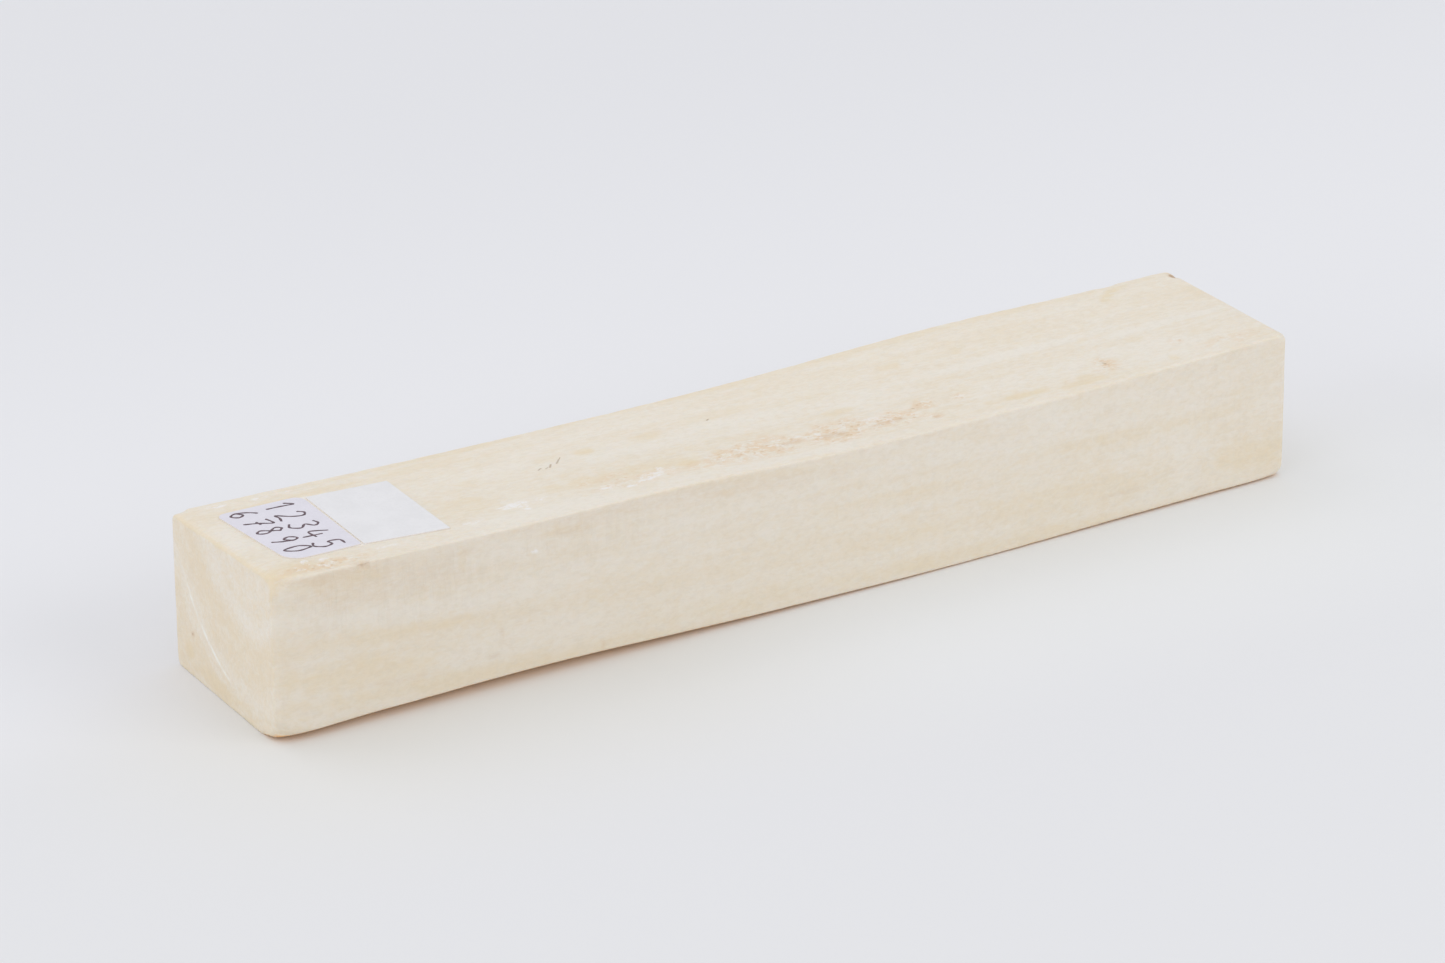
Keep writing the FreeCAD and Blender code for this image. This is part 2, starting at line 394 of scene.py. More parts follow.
# Pen strokes of the digits, in a box one wide and one high
digits = {
    "0": (((0.45, 1.0), (0.12, 0.6), (0.35, 0.0), (0.78, 0.4), (0.6, 0.95), (0.42, 0.97)),),
    "1": (((0.2, 0.72), (0.58, 1.0), (0.5, 0.5), (0.44, 0.0)),),
    "2": (
        ((0.1, 0.8), (0.38, 1.0), (0.72, 0.85), (0.55, 0.45), (0.05, 0.03), (0.45, 0.06), (0.9, 0.0)),
    ),
    "3": (
        ((0.12, 0.92), (0.5, 1.0), (0.74, 0.8), (0.38, 0.56), (0.76, 0.32), (0.48, 0.0), (0.04, 0.1)),
    ),
    "4": (((0.48, 1.0), (0.08, 0.38), (0.9, 0.42)), ((0.68, 0.72), (0.56, 0.0))),
    "5": (
        ((0.82, 1.0), (0.3, 0.96), (0.22, 0.58), (0.6, 0.6), (0.78, 0.3), (0.48, 0.0), (0.06, 0.08)),
    ),
    "6": (
        ((0.72, 1.0), (0.3, 0.66), (0.12, 0.24), (0.42, 0.0), (0.74, 0.22), (0.5, 0.46), (0.16, 0.3)),
    ),
    "7": (((0.08, 0.94), (0.82, 1.0), (0.5, 0.5), (0.3, 0.0)), ((0.28, 0.5), (0.74, 0.54))),
    "8": (
        (
            (0.7, 0.84), (0.42, 1.0), (0.2, 0.78), (0.66, 0.34), (0.44, 0.0), (0.14, 0.2), (0.46, 0.54),
            (0.74, 0.88),
        ),
    ),
    "9": (
        ((0.76, 0.76), (0.44, 0.5), (0.2, 0.76), (0.5, 1.0), (0.76, 0.8), (0.66, 0.36), (0.44, 0.0)),
    ),
}

# Rows of digits on the label. They are read from the left end, so a row runs toward
# the near side, with its feet to the left.
DigitRow = namedtuple("DigitRow", "text first_y foot_x wide high pitch slope")
digit_rows = (
    DigitRow("12345", 7.3, -58.9, 2.1, 3.3, 2.95, -0.02),
    DigitRow("67890", 7.2, -63.2, 1.9, 3.0, 2.85, 0.06),
)
digit_lean = 0.12
digit_lean_turn = 2.3

# Section across a pen stroke, in its half widths and heights
stroke_section = ((-1.0, -0.4), (-0.7, 0.7), (0.0, 1.0), (0.7, 0.7), (1.0, -0.4))
stroke_half_width = 0.19
stroke_height = 0.03
stroke_end_width = 0.55
stroke_usual_width = 0.85
stroke_swing = 0.15
stroke_swing_turn = 0.9
stroke_steps = 8

# Floor: half its width in metres, its colours, and where one goes over to the next. In
# front of the bar it is a little warmer, most at its left part, as painted bounce light,
# and lighter at its right part, as painted light; behind the bar lies painted light too.
floor_half = 3.0
floor_front = (230, 231, 235)
floor_painted_bounce_left = (232, 232, 231)
floor_painted_light_right = (237, 239, 241)
floor_painted_light_behind = (234, 235, 240)
floor_distant = (230, 231, 236)
floor_foot_x = (-30.0, 10.0)
floor_painted_light_x = (105.0, 55.0)
floor_painted_light_y = (-55.0, -12.0)
floor_bar_y = (-12.0, 14.0)
floor_distant_y = (40.0, 170.0)
floor_roughness = 0.9

# Large soft lamps, in metres and watts, and the even light of the world
Lamp = namedtuple("Lamp", "name place size power")
lamps = (
    Lamp("left_lamp", (-0.9, -0.15, 0.3), (0.8, 0.5), 1.3),
    Lamp("front_lamp", (0.45, -0.7, 0.5), (0.7, 0.4), 1.65),
    Lamp("right_lamp", (0.7, 0.1, 0.7), (0.8, 0.8), 0.25),
    Lamp("back_lamp", (-0.4, 0.6, 0.85), (0.8, 0.8), 1.3),
)
world_strength = 0.762

# Camera at the photograph's angle: place in millimetres, direction and lens
camera_place = (-276.895, -438.401, 242.684)
camera_pitch = math.radians(24.098)
camera_yaw = math.radians(31.894)
camera_roll = math.radians(-0.0138)
camera_lens = 123.30
camera_sensor = 36.0
camera_reach = (0.01, 20.0)


def srgb(red, green, blue):
    """A colour given on the 0 to 255 scale, as the linear values that a shader takes."""
    out = []
    for value in (red, green, blue):
        v = value / 255.0
        out.append(v / 12.92 if v <= 0.04045 else ((v + 0.055) / 1.055) ** 2.4)
    return (*out, 1.0)


def tree_of(node):
    """Search tree of a solid, in millimetres."""
    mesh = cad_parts[node].data
    points = [v.co / mm for v in mesh.vertices]
    faces = [tuple(p.vertices) for p in mesh.polygons]
    return BVHTree.FromPolygons(points, faces)


def height_of(tree, x, y):
    """Height of a solid's top at one place, in millimetres."""
    above = 30.0
    return tree.ray_cast(Vector((x, y, above)), Vector((0, 0, -1)))[0].z


def graded(low, high, coarse):
    """Places from low to high, closer together near both ends."""
    near = int(round(fine_margin / fine_step))
    run = high - low - 2 * fine_margin
    middle = int(round(run / coarse))
    first = [low + fine_margin * i / near for i in range(near)]
    mid = [low + fine_margin + run * i / middle for i in range(middle)]
    last = [high - fine_margin + fine_margin * i / near for i in range(near + 1)]
    return first + mid + last


def box_grid(places):
    """Points and faces of the surface of a graded box lattice, with shared corners."""
    counts = [len(p) - 1 for p in places]
    index = {}
    points = []
    faces = []

    def corner(cell):
        if cell not in index:
            index[cell] = len(points)
            points.append([places[a][cell[a]] for a in range(3)])
        return index[cell]

    for axis in range(3):
        u, v = (axis + 1) % 3, (axis + 2) % 3
        for side in (0, counts[axis]):
            for i in range(counts[u]):
                for j in range(counts[v]):
                    ring = []
                    for du, dv in ((0, 0), (1, 0), (1, 1), (0, 1)):
                        cell = [0, 0, 0]
                        cell[axis], cell[u], cell[v] = side, i + du, j + dv
                        ring.append(corner(tuple(cell)))
                    faces.append(ring if side else ring[::-1])
    return np.array(points), faces


def neighbour_mean(faces, values):
    """Mean of the neighbours' values at each point."""
    quads = np.array(faces)
    starts = quads.ravel()
    ends = np.roll(quads, -1, axis=1).ravel()
    total = np.zeros_like(values)
    np.add.at(total, starts, values[ends])
    count = np.bincount(starts, minlength=len(values))
    return (total.T / count).T


def smoothed(points, faces):
    """Rounds off creases by moving points towards their neighbours and back, so that
    nothing shrinks."""
    for share in (smoothing_share, swelling_share) * smoothing_rounds:
        points = points + share * (neighbour_mean(faces, points) - points)
    return points


def spread(values, faces, rounds):
    """Widens a mask by the given number of grid steps and softens it."""
    growth = 1.02
    for _ in range(rounds):
        values = np.maximum(values, neighbour_mean(faces, values) * growth)
    return np.clip(values, 0.0, 1.0)


def ease(low, high, values):
    """Smooth step from 0 at low to 1 at high."""
    t = np.clip((values - low) / (high - low), 0.0, 1.0)
    return t * t * (3 - 2 * t)


def wavy(points, size, seed, stretch=(1.0, 1.0, 1.0)):
    """Seeded soft noise from about -1 to 1, with the given feature size in millimetres."""
    offset = Vector([seed * shift for shift in seed_shift])
    scale = Vector([1.0 / (size * s) for s in stretch])
    return np.array([noise.noise(Vector(p) * scale + offset) for p in points])


def patches(along, across, marks, wobble, slope=0.0):
    """Strongest of several soft ellipses at each place, each sloping along its length."""
    best = np.zeros(len(along))
    for centre_a, centre_b, half_a, half_b, strength in marks:
        offset = along - centre_a
        far = np.hypot(offset / half_a, (across - centre_b - slope * offset) / half_b)
        best = np.maximum(best, strength * (1 - ease(*mark_fade, far + wobble)))
    return best


def pulled_corner(points, low, high):
    """Draws the left end's top near corner in, with the end face twisted to meet it."""
    rise = np.clip((points[:, 2] - low[2]) / (high[2] - low[2]), 0.0, 1.0)
    near = np.clip((high[1] - points[:, 1]) / (high[1] - low[1]), 0.0, 1.0)
    shares = (rise ** 2 * near, rise ** 1.5 * near ** 3, rise ** 3 * near ** 3)
    moved = points.copy()
    for axis in range(3):
        fade = 1 - ease(0.0, corner_reach[axis], points[:, 0] - low[0])
        moved[:, axis] += corner_pull[axis] * shares[axis] * fade
    return moved


def near_edge_height(x):
    """Height of the bar's top just inside its near edge, at each place along it."""
    bar = tree_of("ivory_bar")
    places = np.arange(*edge_places)
    heights = [height_of(bar, place, edge_inside_y) for place in places]
    return np.interp(x, places, heights)


def skin_grid():
    """Points and faces of a close grid laid on the bar's faces, with its corner drawn in."""
    bar = tree_of("ivory_bar")
    low, high = (np.array(c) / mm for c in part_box("ivory_bar"))
    steps = (long_step, cross_step, cross_step)
    grid, faces = box_grid([graded(low[a], high[a], steps[a]) for a in range(3)])
    core = np.clip(grid, low + core_depth, high - core_depth)
    out = grid - core
    out /= np.linalg.norm(out, axis=1)[:, None]
    points = []
    for start, way in zip(core, out):
        hit = bar.ray_cast(Vector(start), Vector(way))[0]
        points.append(tuple(hit))
    points = smoothed(pulled_corner(np.array(points), low, high), faces)
    return np.clip(points, low, high), faces


def skin_marks(points, normals, edge, wobble):
    """How strongly each point shows each kind of mark, by the mark's name."""
    x, y, z = points.T
    depth = near_edge_height(x) - z
    top = ease(*face_turn, normals[:, 2])
    near = ease(*face_turn, -normals[:, 1])
    left = ease(*face_turn, -normals[:, 0])
    under = ease(*under_turn, -normals[:, 2])
    seam_x, seam_south, seam_north = label_seam
    # painted light: lightens the ivory in the gap between the labels against its shade
    painted_light_seam = 1 - ease(*seam_fade, np.abs(x - seam_x))
    painted_light_seam *= ease(*seam_end_fade, np.minimum(y - seam_south, seam_north - y))
    end_edge = edge * ease(*end_edge_x, x) * ease(*end_edge_z, z)

    def on_top(marks):
        return top * patches(x, y, marks, wobble)

    def on_side(marks):
        return side_share * near * patches(x, depth, marks, wobble, side_slope)

    def on_end(marks):
        return left * patches(y, z, marks, wobble)

    return {
        "tan": on_top(top_tan) + on_side(side_tan) + on_end(end_tan) + end_edge_tan * end_edge,
        "pale": on_top(top_pale) + top_paleness * top + on_side(side_pale) + side_paleness * near,
        "chalk": on_top(top_chalk) + near * patches(x, depth, side_chalk, wobble),
        "brown": on_top(top_brown) + on_side(side_brown) + on_end(end_brown),
        "porous": on_top(top_porous),
        "sawn": near * patches(x, depth, side_sawn, wobble),
        # the rounded edges, whose pale tint is a painted highlight
        "edge": edge,
        # painted shade: the near side darker toward its left end
        "shade": near * (1 - ease(*painted_shade_x, x)),
        # painted shadow: brown on the underside that tints the gap shadow under the near edge
        "under": under * (painted_gap_shade_share + (1 - painted_gap_shade_share) * ease(*painted_gap_shade_y, y)),
        # painted light: the whole top face lighter, most toward its far side
        "bright": top * (painted_light_share + (1 - painted_light_share) * ease(*painted_light_y, y)),
        "calm": near,
        "painted_light_seam": top * painted_light_seam,
    }


def skin_relief(points, rim, porous):
    """Depth of the swell, saw ripple, ragged edges and pores at each point."""
    x, y = points.T[:2]
    cut = swell_depth * (1 - rim) * (0.5 + 0.5 * wavy(points, swell_length, 3, swell_stretch))
    waves = (x + washboard_slant * y) / washboard_pitch
    wander = washboard_wander * wavy(points, washboard_wander_length, 4)
    cut += washboard_depth * (0.5 + 0.5 * np.sin(2 * math.pi * waves + wander))
    chips = 0.0
    for share, length, seed, start in edge_chips:
        chips = chips + share * np.clip(wavy(points, length, seed) - start, 0.0, 1.0)
    cut += edge_chip_depth * rim * chips
    cut += pore_depth * porous * np.clip(wavy(points, pore_length, 7, pore_stretch), 0.0, 1.0)
    return cut


def relief_share(points, normals):
    """How much of the relief each point keeps: none on the top under the labels, and
    little on the underside."""
    x, y, z = points.T
    west, east, south, north = label_area
    outside = np.maximum.reduce([west - x, x - east, south - y, y - north])
    sides = 1 - ease(*below_top_fade, z - below_top)
    under = ease(*under_turn, -normals[:, 2])
    full = np.maximum(ease(*label_fade, outside), sides)
    return full * (1 - (1 - underside_relief_share) * under)


def bar_skin():
    """Close mesh laid on the bar's faces, with its wear and the marks as point values."""
    points, faces = skin_grid()
    mesh = bpy.data.meshes.new("ivory_skin")
    mesh.from_pydata(points.tolist(), [], faces)
    normals = np.array([tuple(n.vector) for n in mesh.vertex_normals])
    edge = ease(*edge_turn, 1 - np.abs(normals).max(axis=1))
    rim = spread(edge, faces, rim_steps)
    wobble = sum(share * wavy(points, length, seed) for share, length, seed in outline_noises)

    marks = skin_marks(points, normals, edge, wobble)
    cut = skin_relief(points, rim, marks["porous"])
    for nick_x, nick_y, nick_z, radius, nick_depth, stain in edge_nicks:
        far = np.linalg.norm(points - (nick_x, nick_y, nick_z), axis=1)
        share = 1 - ease(*nick_fade, far / radius + nick_raggedness * wobble)
        cut += nick_depth * share
        marks["brown"] = np.maximum(marks["brown"], stain * share)
    cut *= relief_share(points, normals)

    points = (points - normals * cut[:, None]) * mm
    mesh.vertices.foreach_set("co", points.ravel())
    for name, values in marks.items():
        layer = mesh.attributes.new(name, "FLOAT", "POINT")
        layer.data.foreach_set("value", values.astype(np.float32))
    mesh.polygons.foreach_set("use_smooth", [True] * len(mesh.polygons))
    mesh.update()
    return mesh


class Shader:
    """A material with the few node kinds that the scene's surfaces are made from."""

    def __init__(self, name):
        self.material = bpy.data.materials.new(name)
        self.material.use_nodes = True
        self.tree = self.material.node_tree
        self.tree.nodes.clear()
        self.output = self.tree.nodes.new("ShaderNodeOutputMaterial")

    def put(self, socket, value):
        """Links another socket to this one, or sets its own value."""
        if isinstance(value, bpy.types.NodeSocket):
            self.tree.links.new(value, socket)
        else:
            socket.default_value = value

    def math(self, kind, first, second=0.0):
        node = self.tree.nodes.new("ShaderNodeMath")
        node.operation = kind
        self.put(node.inputs[0], first)
        self.put(node.inputs[1], second)
        return node.outputs[0]

    def times(self, first, second):
        return self.math("MULTIPLY", first, second)

    def sum(self, start, *parts):
        """start plus every value of parts times its share."""
        total = start
        for value, share in parts:
            node = self.tree.nodes.new("ShaderNodeMath")
            node.operation = "MULTIPLY_ADD"
            for socket, item in zip(node.inputs, (value, share, total)):
                self.put(socket, item)
            total = node.outputs[0]
        return total

    def distance(self, first, second):
        """Length of the way that goes as far as first and, square to it, second."""
        squared = self.sum(self.times(first, first), (second, second))
        return self.math("SQRT", squared)

    def step(self, value, low, high, to_low=0.0, to_high=1.0):
        """Smooth step from to_low where the value is low to to_high where it is high."""
        node = self.tree.nodes.new("ShaderNodeMapRange")
        node.interpolation_type = "SMOOTHSTEP"
        for socket, item in zip(node.inputs[:5], (value, low, high, to_low, to_high)):
            self.put(socket, item)
        return node.outputs[0]

    def combine(self, x, y, z):
        node = self.tree.nodes.new("ShaderNodeCombineXYZ")
        for socket, item in zip(node.inputs, (x, y, z)):
            self.put(socket, item)
        return node.outputs[0]

    def split(self, vector):
        node = self.tree.nodes.new("ShaderNodeSeparateXYZ")
        self.put(node.inputs[0], vector)
        return node.outputs[:3]

    def stretch(self, vector, scale, offset=(0.0, 0.0, 0.0)):
        node = self.tree.nodes.new("ShaderNodeMapping")
        self.put(node.inputs["Vector"], vector)
        node.inputs["Location"].default_value = offset
        node.inputs["Scale"].default_value = scale
        return node.outputs[0]

    def noise(self, vector, kind):
        """Noise of a pattern's kind at places that are already stretched."""
        node = self.tree.nodes.new("ShaderNodeTexNoise")
        self.put(node.inputs["Vector"], vector)
        node.inputs["Scale"].default_value = 1.0
        node.inputs["Detail"].default_value = kind.detail
        node.inputs["Roughness"].default_value = kind.roughness
        node.inputs["Distortion"].default_value = kind.distortion
        return node.outputs[0]

    def raw(self, where, kind):
        """A pattern's noise, as it comes."""
        return self.noise(self.stretch(where, kind.waves, kind.offset), kind)

    def pattern(self, where, kind, to_low=0.0, to_high=1.0):
        """A pattern's noise as a step from to_low to to_high."""
        return self.step(self.raw(where, kind), kind.low, kind.high, to_low, to_high)

    def cells(self, vector):
        """Distance from the middle of the nearest cell."""
        node = self.tree.nodes.new("ShaderNodeTexVoronoi")
        node.feature = "F1"
        self.put(node.inputs["Vector"], vector)
        node.inputs["Scale"].default_value = 1.0
        return node.outputs["Distance"]

    def mark(self, name):
        """A mark that the mesh carries as point values."""
        node = self.tree.nodes.new("ShaderNodeAttribute")
        node.attribute_name = name
        return node.outputs["Fac"]

    def mix(self, share, first, second):
        node = self.tree.nodes.new("ShaderNodeMix")
        node.data_type = "RGBA"
        self.put(node.inputs[0], share)
        self.put(node.inputs[6], first)
        self.put(node.inputs[7], second)
        return node.outputs[2]

    def place(self):
        """The object's own coordinates in millimetres."""
        where = self.tree.nodes.new("ShaderNodeTexCoord")
        return self.stretch(where.outputs["Object"], (1 / mm, 1 / mm, 1 / mm))

    def bump(self, height, distance):
        node = self.tree.nodes.new("ShaderNodeBump")
        node.inputs["Strength"].default_value = 1.0
        node.inputs["Distance"].default_value = distance * mm
        self.put(node.inputs["Height"], height)
        return node.outputs[0]

    def finish(self, colour, roughness, normal=None, **settings):
        """The material, with its surface made from the given colour and gloss."""
        surface = self.tree.nodes.new("ShaderNodeBsdfPrincipled")
        self.put(surface.inputs["Base Color"], colour)
        self.put(surface.inputs["Roughness"], roughness)
        if normal is not None:
            self.put(surface.inputs["Normal"], normal)
        for name, value in settings.items():
            surface.inputs[name.replace("_", " ")].default_value = value
        self.tree.links.new(surface.outputs[0], self.output.inputs["Surface"])
        return self.material


def growth_radius(shader, where, x, y, z):
    """Distance from the growth axis, bent a little."""
    bend = shader.pattern(where, bend_noise, -ring_bend, ring_bend)
    side_way = shader.math("SUBTRACT", y, shader.sum(ring_axis_y, (x, ring_axis_y_slope)))
    up_way = shader.math("SUBTRACT", z, shader.sum(ring_axis_z, (x, ring_axis_z_slope)))
    return shader.math("ADD", shader.distance(side_way, up_way), bend)


def growth_bands(shader, radius, x, kind):
    """Bands round the growth axis, which run along the bar."""
    outward = shader.times(radius, kind.waves[0])
    along = shader.times(x, kind.waves[1])
    bands = shader.noise(shader.combine(outward, along, kind.offset[2]), kind)
    return shader.step(bands, kind.low, kind.high)


def ring_warmth(shader, radius, x):
    """Warm and pale rings, full across the sawn ends and weak on the long faces."""
    rings = [(shader.step(radius, start, full), change) for start, full, change in end_rings]
    ends = shader.step(shader.math("ABSOLUTE", x), *end_rings_x, end_rings_share, 1.0)
    return shader.times(shader.sum(0.0, *rings), ends)


def saw_streaks(shader, x, y, z):
    """Streaks that the saw left, strongest where the side is marked as sawn."""
    along, across, up = saw_noise.waves
    slanted = shader.sum(0.0, (x, along), (y, saw_slant))
    streak = shader.combine(slanted, shader.times(y, across), shader.times(z, up))
    cuts = shader.step(shader.noise(streak, saw_noise), saw_noise.low, saw_noise.high)
    return shader.times(cuts, shader.sum(saw_everywhere, (shader.mark("sawn"), saw_in_marks)))


def end_crack(shader, x, y, z):
    """Arc of the crack on the left end."""
    side_way = shader.math("SUBTRACT", y, crack_y)
    up_way = shader.math("SUBTRACT", z, crack_z)
    from_centre = shader.distance(side_way, up_way)
    off = shader.math("ABSOLUTE", shader.math("SUBTRACT", from_centre, crack_radius))
    reach = shader.times(shader.step(y, *crack_low_y), shader.step(y, *crack_high_y))
    arc = shader.times(shader.step(off, *crack_half_width), reach)
    return shader.times(arc, shader.step(x, *crack_x))


def tick_mask(shader, x, y, start, end, half_width):
    """Mask of a short straight mark between two places on the top."""
    run = (end[0] - start[0], end[1] - start[1])
    length = math.hypot(*run)
    along = (run[0] / length, run[1] / length)
    offset_x = shader.math("SUBTRACT", x, start[0])
    offset_y = shader.math("SUBTRACT", y, start[1])
    forward = shader.sum(0.0, (offset_x, along[0]), (offset_y, along[1]))
    across = shader.sum(0.0, (offset_x, -along[1]), (offset_y, along[0]))
    beyond = shader.math("ABSOLUTE", shader.math("SUBTRACT", forward, length / 2))
    beyond = shader.math("MAXIMUM", shader.math("SUBTRACT", beyond, length / 2), 0.0)
    return shader.step(shader.distance(across, beyond), half_width, 0.0)


def top_cracks(shader, x, y, z):
    """All short dark cracks and pits of the top."""
    dark = 0.0
    for start, end, half_width in top_ticks:
        dark = shader.math("MAXIMUM", dark, tick_mask(shader, x, y, start, end, half_width))
    return shader.times(dark, shader.step(z, *tick_heights))


def ivory_material():
    """Aged ivory, in the bar's own millimetres: bands, fibres, saw streaks and stains."""
    shader = Shader("ivory_surface")
    where = shader.place()
    x, y, z = shader.split(where)
    radius = growth_radius(shader, where, x, y, z)
    grain = shader.raw(where, grain_noise)
    blot = shader.raw(where, blot_noise)
    pores = shader.mark("porous")
    brown = shader.mark("brown")
    crack = end_crack(shader, x, y, z)
    faint = shader.pattern(where, faint_noise, crack_faintest)
    bruised = shader.step(shader.mark("chalk"), *bruise_span)
    speckle = shader.times(
        shader.step(shader.cells(shader.stretch(where, speckle_cells)), *speckle_reach),
        shader.step(blot, *speckle_blot),
    )
    values = {
        "bands": growth_bands(shader, radius, x, band_noise),
        "thin_bands": growth_bands(shader, radius, x, thin_band_noise),
        "end_rings": ring_warmth(shader, radius, x),
        "fibre": shader.pattern(where, fibre_noise),
        "cloud": shader.pattern(where, cloud_noise),
        "mottle": shader.pattern(where, mottle_noise),
        "dust": shader.pattern(where, dust_noise),
        "grain": grain,
        "grain_swing": shader.math("SUBTRACT", grain, 0.5),
        "sawn": saw_streaks(shader, x, y, z),
        "blot": shader.times(shader.step(blot, blot_noise.low, blot_noise.high), pores),
        "fleck": shader.times(shader.pattern(where, fleck_noise), pores),
        "speckle": shader.times(pores, speckle),
        "stain": shader.times(brown, shader.step(grain, *stain_grain, stain_share, 1.0)),
        "dark_stain": shader.step(brown, *dark_stain_span),
        "bruise": shader.times(bruised, shader.pattern(where, broken_noise)),
        "crack": crack,
        "pale_crack": shader.times(crack, faint),
        "tick": top_cracks(shader, x, y, z),
    }
    for name in ("tan", "pale", "shade", "calm", "bright", "under", "edge", "painted_light_seam"):
        values[name] = shader.mark(name)

    warmth = shader.sum(warmth_start, *[(values[name], share) for name, share in warmth_shares.items()])
    colour = shader.mix(shader.step(warmth, *warmth_span), srgb(*pale_ivory), srgb(*tan_ivory))
    for name, share, tint in colour_layers:
        colour = shader.mix(shader.times(values[name], share), colour, srgb(*tint))
    height = shader.sum(0.0, *[(values[name], share) for name, share in relief_shares.items()])
    return shader.finish(
        colour,
        shader.step(warmth, 0.0, 1.0, pale_roughness, tan_roughness),
        shader.bump(height, ivory_relief),
        Subsurface_Scale=ivory_depth * mm,
        **ivory_glow,
    )


def paper_material(name, tint, seed):
    """Matt paper with fibres, faint clouds and a paler cut edge."""
    shader = Shader(name)
    where = shader.place()
    fibres = shader.raw(where, paper_fibre_noise._replace(offset=(seed, 0.0, 0.0)))
    cloud = shader.raw(where, paper_cloud_noise._replace(offset=(0.0, seed, 0.0)))
    shade = shader.sum(0.0, (cloud, 0.5), (fibres, 0.5))
    bright = srgb(*tint)
    dull = (*[c * paper_dullness for c in bright[:3]], 1.0)
    colour = shader.mix(shader.step(shade, *paper_cloud_span), dull, bright)
    facing = shader.tree.nodes.new("ShaderNodeNewGeometry")
    upward = shader.split(facing.outputs["Normal"])[2]
    colour = shader.mix(shader.step(upward, *paper_edge_turn), colour, srgb(*paper_edge))
    return shader.finish(colour, shader.step(cloud, *paper_gloss), shader.bump(fibres, paper_relief))


def ink_material():
    """Pen ink that runs thicker and thinner."""
    shader = Shader("pen_ink")
    flow = shader.raw(shader.place(), ink_noise)
    colour = shader.mix(shader.step(flow, *ink_span), srgb(*dark_ink), srgb(*pale_ink))
    return shader.finish(colour, shader.step(flow, *ink_gloss), shader.bump(flow, ink_relief))


def floor_material():
    """Pale floor with painted light: warm painted bounce light in front of the bar's left
    part, and lighter painted light in front of its right part and behind it.
    """
    shader = Shader("floor_surface")
    x, y = shader.split(shader.place())[:2]
    beside = shader.step(shader.math("ABSOLUTE", x), *floor_painted_light_x)
    painted_foot_light = shader.times(shader.step(y, *floor_painted_light_y), beside)
    painted_foot_colour = shader.mix(shader.step(x, *floor_foot_x), srgb(*floor_painted_bounce_left), srgb(*floor_painted_light_right))
    near = shader.mix(painted_foot_light, srgb(*floor_front), painted_foot_colour)
    # painted light behind the bar, which fades out further back
    far = shader.mix(shader.step(y, *floor_distant_y), srgb(*floor_painted_light_behind), srgb(*floor_distant))
    return shader.finish(shader.mix(shader.step(y, *floor_bar_y), near, far), floor_roughness)


def curve_through(points):
    """Smooth line through the given points."""
    ends = [points[0], *points, points[-1]]
    line = []
    for a, b, c, d in zip(ends, ends[1:], ends[2:], ends[3:]):
        for i in range(stroke_steps):
            t = i / stroke_steps
            spot = []
            for p, q, r, w in zip(a, b, c, d):
                square = (2 * p - 5 * q + 4 * r - w) * t * t
                cube = (3 * q - p - 3 * r + w) * t ** 3
                spot.append(0.5 * (2 * q + (r - p) * t + square + cube))
            line.append(tuple(spot))
    line.append(tuple(points[-1]))
    return line


def stroke_line(stroke, row, place):
    """One stroke of a digit as a line on the label, in millimetres."""
    lean = digit_lean * math.sin(place * digit_lean_turn + row.foot_x)
    line = []
    for u, v in curve_through(stroke):
        run = place * row.pitch + row.wide * (u + lean * v)
        line.append((row.foot_x + row.high * v + row.slope * run, row.first_y - run))
    return line


def stroke_ribbon(line, label, place):
    """Points and faces of a raised stroke along a line on the label's top."""
    points, faces = [], []
    last = len(line) - 1
    count = len(stroke_section)

    def width_at(i):
        if i in (0, last):
            return stroke_end_width
        return stroke_usual_width + stroke_swing * math.sin(i * stroke_swing_turn + place)

    for i, (x, y) in enumerate(line):
        before, after = line[max(i - 1, 0)], line[min(i + 1, last)]
        dx, dy = after[0] - before[0], after[1] - before[1]
        size = math.hypot(dx, dy) or 1.0
        width = width_at(i)
        for across, up in stroke_section:
            side_x = x - dy / size * across * stroke_half_width * width
            side_y = y + dx / size * across * stroke_half_width * width
            top = height_of(label, side_x, side_y) + up * stroke_height
            points.append((side_x * mm, side_y * mm, top * mm))
    for i in range(last):
        for j in range(count):
            k = (j + 1) % count
            a, b = i * count, (i + 1) * count
            faces.append((a + j, a + k, b + k, b + j))
    faces.append(tuple(reversed(range(count))))
    faces.append(tuple(range(last * count, last * count + count)))
    return points, faces


def pen_marks():
    """Thin raised ink ribbons that follow the written label's top."""
    label = tree_of("written_label")
    points, faces = [], []
    for row in digit_rows:
        for place, digit in enumerate(row.text):
            for stroke in digits[digit]:
                start = len(points)
                line = stroke_line(stroke, row, place)
                more_points, more_faces = stroke_ribbon(line, label, place)
                points += more_points
                faces += [tuple(start + corner for corner in face) for face in more_faces]
    mesh = bpy.data.meshes.new("pen_marks")
    mesh.from_pydata(points, [], faces)
    mesh.polygons.foreach_set("use_smooth", [True] * len(mesh.polygons))
    mesh.update()
    return mesh


def floor_plane():
    """Large square at floor level."""
    corners = [(-1, -1), (1, -1), (1, 1), (-1, 1)]
    mesh = bpy.data.meshes.new("floor")
    mesh.from_pydata([(x * floor_half, y * floor_half, 0.0) for x, y in corners], [], [(0, 1, 2, 3)])
    return mesh


def add(name, mesh, material):
    """A new object in the scene with one material."""
    piece = bpy.data.objects.new(name, mesh)
    scene.collection.objects.link(piece)
    piece.data.materials.append(material)
    return piece


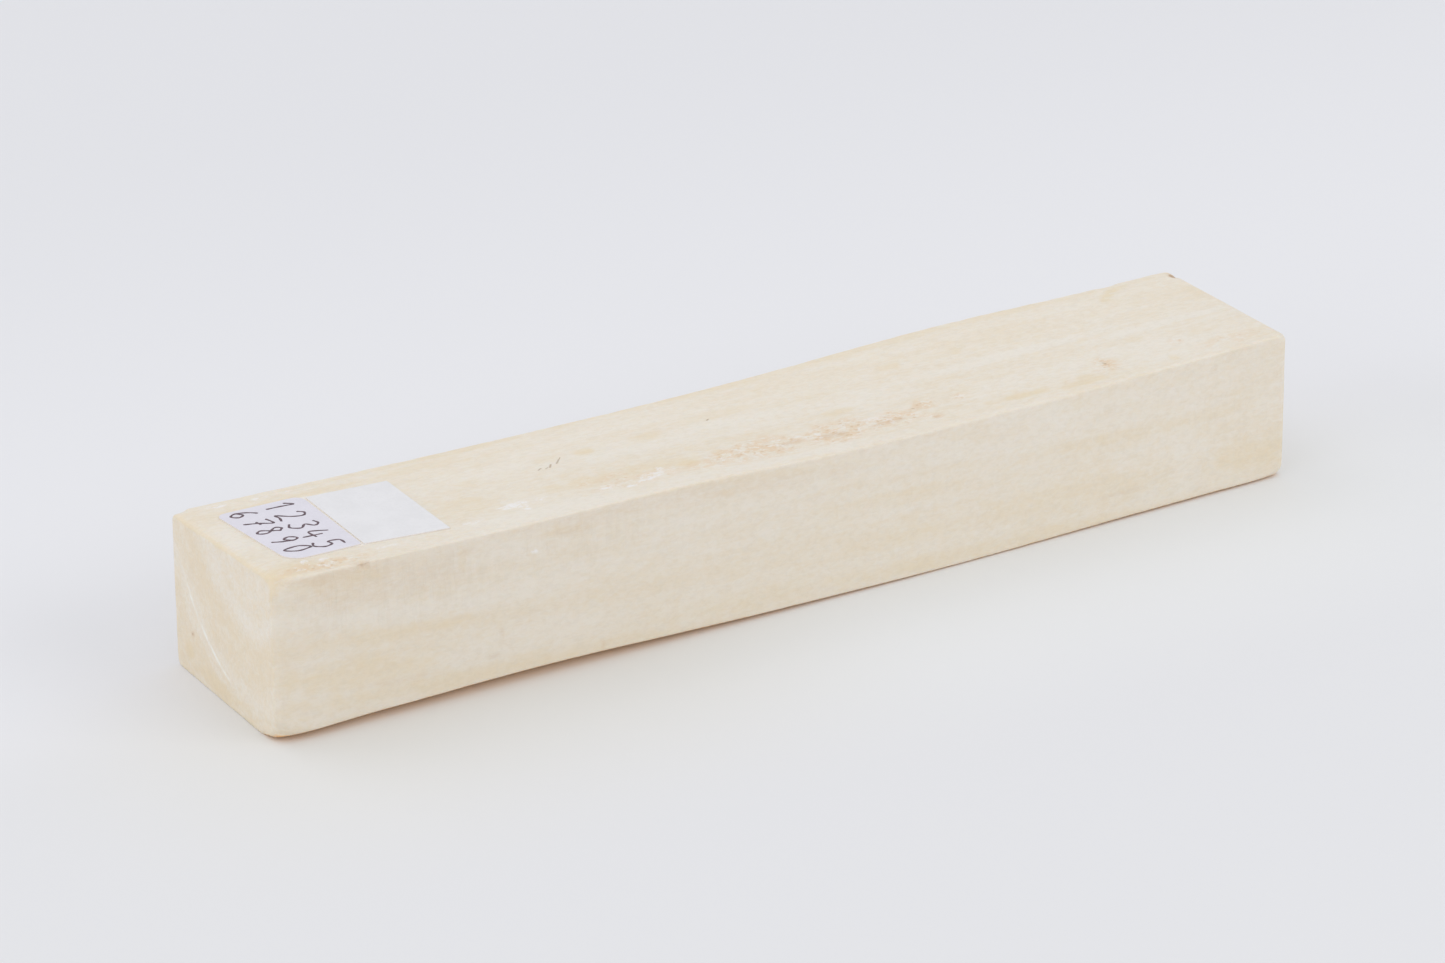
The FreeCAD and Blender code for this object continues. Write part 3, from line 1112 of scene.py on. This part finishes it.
def add_lamp(lamp):
    """A rectangular lamp aimed at the origin."""
    data = bpy.data.lights.new(lamp.name, "AREA")
    data.shape = "RECTANGLE"
    data.size, data.size_y = lamp.size
    data.energy = lamp.power
    piece = bpy.data.objects.new(lamp.name, data)
    scene.collection.objects.link(piece)
    piece.location = lamp.place
    piece.rotation_mode = "QUATERNION"
    piece.rotation_quaternion = (-Vector(lamp.place)).to_track_quat("-Z", "Y")


def add_world():
    """Even white light from all round."""
    world = bpy.data.worlds.new("studio")
    world.use_nodes = True
    background = world.node_tree.nodes["Background"]
    background.inputs[0].default_value = (1.0, 1.0, 1.0, 1.0)
    background.inputs[1].default_value = world_strength
    scene.world = world


def add_camera():
    """The camera, from its place, direction and lens."""
    forward = Vector((
        math.sin(camera_yaw) * math.cos(camera_pitch),
        math.cos(camera_yaw) * math.cos(camera_pitch),
        -math.sin(camera_pitch),
    ))
    level = Vector((math.cos(camera_yaw), -math.sin(camera_yaw), 0.0))
    upright = level.cross(forward)
    right = level * math.cos(camera_roll) - upright * math.sin(camera_roll)
    up = level * math.sin(camera_roll) + upright * math.cos(camera_roll)
    data = bpy.data.cameras.new("camera")
    data.sensor_width = camera_sensor
    data.lens = camera_lens
    data.clip_start, data.clip_end = camera_reach
    camera = bpy.data.objects.new("camera", data)
    scene.collection.objects.link(camera)
    turn = Matrix((right, up, -forward)).transposed().to_4x4()
    camera.matrix_world = Matrix.Translation(Vector(camera_place) * mm) @ turn
    scene.camera = camera


# Bar
skin = add("ivory_skin", bar_skin(), ivory_material())
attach(skin, "root")
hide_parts("ivory_bar")

# Labels, with the solids' own shape
label_finishes = (
    ("written_label", paper_material("lilac_paper", lilac_paper, 3.0)),
    ("plain_label", paper_material("white_paper", white_paper, 7.0)),
)
for node, finish in label_finishes:
    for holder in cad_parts[node].material_slots:
        holder.material = finish
ink = add("pen_marks", pen_marks(), ink_material())
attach(ink, "root")

# Floor, light and camera
floor = add("floor", floor_plane(), floor_material())
add_world()
for lamp in lamps:
    add_lamp(lamp)
add_camera()
scene.view_settings.view_transform = "Standard"
